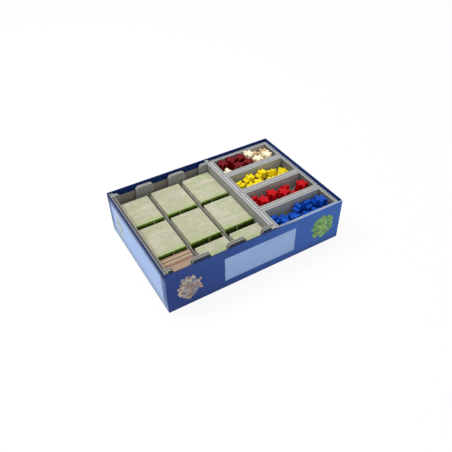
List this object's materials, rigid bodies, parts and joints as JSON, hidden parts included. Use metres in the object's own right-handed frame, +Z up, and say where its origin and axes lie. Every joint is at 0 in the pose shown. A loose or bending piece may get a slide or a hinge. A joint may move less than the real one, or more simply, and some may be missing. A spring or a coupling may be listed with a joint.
{
  "type": "board game box insert organizer",
  "caption": "Foam-board insert in a shallow game box base: a tile tray with dividers and finger notches, and lift-out parts trays with wooden pawns on a lower tray.",
  "frame": {"origin": "middle of the box's underside", "axes": "+X to the right along the long front, +Y to the back, +Z up"},
  "size_m": [0.27, 0.187, 0.066],
  "materials": {
    "box_paper": "satin printed paper",
    "box_board": "matte greyboard",
    "foam_board": "matte paper-faced foam board",
    "tile_card": "matte cut board edges",
    "token_card": "matte cut board edges",
    "dark_red_wood": "painted satin",
    "cream_wood": "painted satin",
    "natural_wood": "bare wood",
    "yellow_wood": "painted satin",
    "red_wood": "painted satin",
    "blue_wood": "painted satin"
  },
  "bodies": {
    "game_box": {"box_bottom_sheet": "box_paper", "box_floor_board": "box_board", "box_front_board": "box_board", "box_back_board": "box_board", "box_left_board": "box_board", "box_right_board": "box_board", "box_wrap": "box_paper"},
    "tile_tray": {"tile_tray_base": "foam_board", "tile_tray_left_wall": "foam_board", "tile_tray_right_wall": "foam_board", "tile_tray_front_board": "foam_board", "tile_tray_back_board": "foam_board", "tile_tray_left_divider": "foam_board", "tile_tray_right_divider": "foam_board"},
    "front_stack_1": {"tile_stack_front_1": "token_card"},
    "middle_stack_1": {"tile_stack_middle_1": "tile_card"},
    "back_stack_1": {"tile_stack_back_1": "tile_card"},
    "front_stack_2": {"tile_stack_front_2": "tile_card"},
    "middle_stack_2": {"tile_stack_middle_2": "tile_card"},
    "back_stack_2": {"tile_stack_back_2": "tile_card"},
    "front_stack_3": {"tile_stack_front_3": "tile_card"},
    "middle_stack_3": {"tile_stack_middle_3": "tile_card"},
    "back_stack_3": {"tile_stack_back_3": "tile_card"},
    "lower_tray": {"lower_tray_base": "foam_board", "lower_tray_front_wall": "foam_board", "lower_tray_back_wall": "foam_board", "lower_tray_left_wall": "foam_board", "lower_tray_right_wall": "foam_board"},
    "parts_tray_1": {"parts_tray_1_base": "foam_board", "parts_tray_1_front_wall": "foam_board", "parts_tray_1_back_wall": "foam_board", "parts_tray_1_left_wall": "foam_board", "parts_tray_1_right_wall": "foam_board"},
    "parts_tray_2": {"parts_tray_2_base": "foam_board", "parts_tray_2_front_wall": "foam_board", "parts_tray_2_back_wall": "foam_board", "parts_tray_2_left_wall": "foam_board", "parts_tray_2_right_wall": "foam_board"},
    "parts_tray_3": {"parts_tray_3_base": "foam_board", "parts_tray_3_front_wall": "foam_board", "parts_tray_3_back_wall": "foam_board", "parts_tray_3_left_wall": "foam_board", "parts_tray_3_right_wall": "foam_board"},
    "parts_tray_4": {"parts_tray_4_base": "foam_board", "parts_tray_4_front_wall": "foam_board", "parts_tray_4_back_wall": "foam_board", "parts_tray_4_left_wall": "foam_board", "parts_tray_4_right_wall": "foam_board"},
    "dark_red_group": {"dark_red_pawns": "dark_red_wood"},
    "cream_group": {"cream_pawns": "cream_wood"},
    "natural_group": {"natural_pawns": "natural_wood"},
    "yellow_group": {"yellow_pawns": "yellow_wood"},
    "red_group": {"red_pawns": "red_wood"},
    "blue_group": {"blue_pawns": "blue_wood"}
  },
  "joints": [
    {"name": "tile_tray_lift", "type": "slide", "parent": "game_box", "child": "tile_tray", "axis": [0, 0, 1], "range_m": [0, 0.07]},
    {"name": "front_stack_1_lift", "type": "slide", "parent": "tile_tray", "child": "front_stack_1", "axis": [0, 0, 1], "range_m": [0, 0.06]},
    {"name": "middle_stack_1_lift", "type": "slide", "parent": "tile_tray", "child": "middle_stack_1", "axis": [0, 0, 1], "range_m": [0, 0.06]},
    {"name": "back_stack_1_lift", "type": "slide", "parent": "tile_tray", "child": "back_stack_1", "axis": [0, 0, 1], "range_m": [0, 0.06]},
    {"name": "front_stack_2_lift", "type": "slide", "parent": "tile_tray", "child": "front_stack_2", "axis": [0, 0, 1], "range_m": [0, 0.06]},
    {"name": "middle_stack_2_lift", "type": "slide", "parent": "tile_tray", "child": "middle_stack_2", "axis": [0, 0, 1], "range_m": [0, 0.06]},
    {"name": "back_stack_2_lift", "type": "slide", "parent": "tile_tray", "child": "back_stack_2", "axis": [0, 0, 1], "range_m": [0, 0.06]},
    {"name": "front_stack_3_lift", "type": "slide", "parent": "tile_tray", "child": "front_stack_3", "axis": [0, 0, 1], "range_m": [0, 0.06]},
    {"name": "middle_stack_3_lift", "type": "slide", "parent": "tile_tray", "child": "middle_stack_3", "axis": [0, 0, 1], "range_m": [0, 0.06]},
    {"name": "back_stack_3_lift", "type": "slide", "parent": "tile_tray", "child": "back_stack_3", "axis": [0, 0, 1], "range_m": [0, 0.06]},
    {"name": "lower_tray_lift", "type": "slide", "parent": "game_box", "child": "lower_tray", "axis": [0, 0, 1], "range_m": [0, 0.07]},
    {"name": "parts_tray_1_lift", "type": "slide", "parent": "lower_tray", "child": "parts_tray_1", "axis": [0, 0, 1], "range_m": [0, 0.035]},
    {"name": "parts_tray_2_lift", "type": "slide", "parent": "lower_tray", "child": "parts_tray_2", "axis": [0, 0, 1], "range_m": [0, 0.035]},
    {"name": "parts_tray_3_lift", "type": "slide", "parent": "lower_tray", "child": "parts_tray_3", "axis": [0, 0, 1], "range_m": [0, 0.035]},
    {"name": "parts_tray_4_lift", "type": "slide", "parent": "lower_tray", "child": "parts_tray_4", "axis": [0, 0, 1], "range_m": [0, 0.035]},
    {"name": "dark_red_pawns_lift", "type": "slide", "parent": "parts_tray_4", "child": "dark_red_group", "axis": [0, 0, 1], "range_m": [0, 0.025]},
    {"name": "cream_pawns_lift", "type": "slide", "parent": "parts_tray_4", "child": "cream_group", "axis": [0, 0, 1], "range_m": [0, 0.025]},
    {"name": "natural_pawns_lift", "type": "slide", "parent": "parts_tray_4", "child": "natural_group", "axis": [0, 0, 1], "range_m": [0, 0.025]},
    {"name": "yellow_pawns_lift", "type": "slide", "parent": "parts_tray_3", "child": "yellow_group", "axis": [0, 0, 1], "range_m": [0, 0.025]},
    {"name": "red_pawns_lift", "type": "slide", "parent": "parts_tray_2", "child": "red_group", "axis": [0, 0, 1], "range_m": [0, 0.025]},
    {"name": "blue_pawns_lift", "type": "slide", "parent": "parts_tray_1", "child": "blue_group", "axis": [0, 0, 1], "range_m": [0, 0.025]}
  ]
}
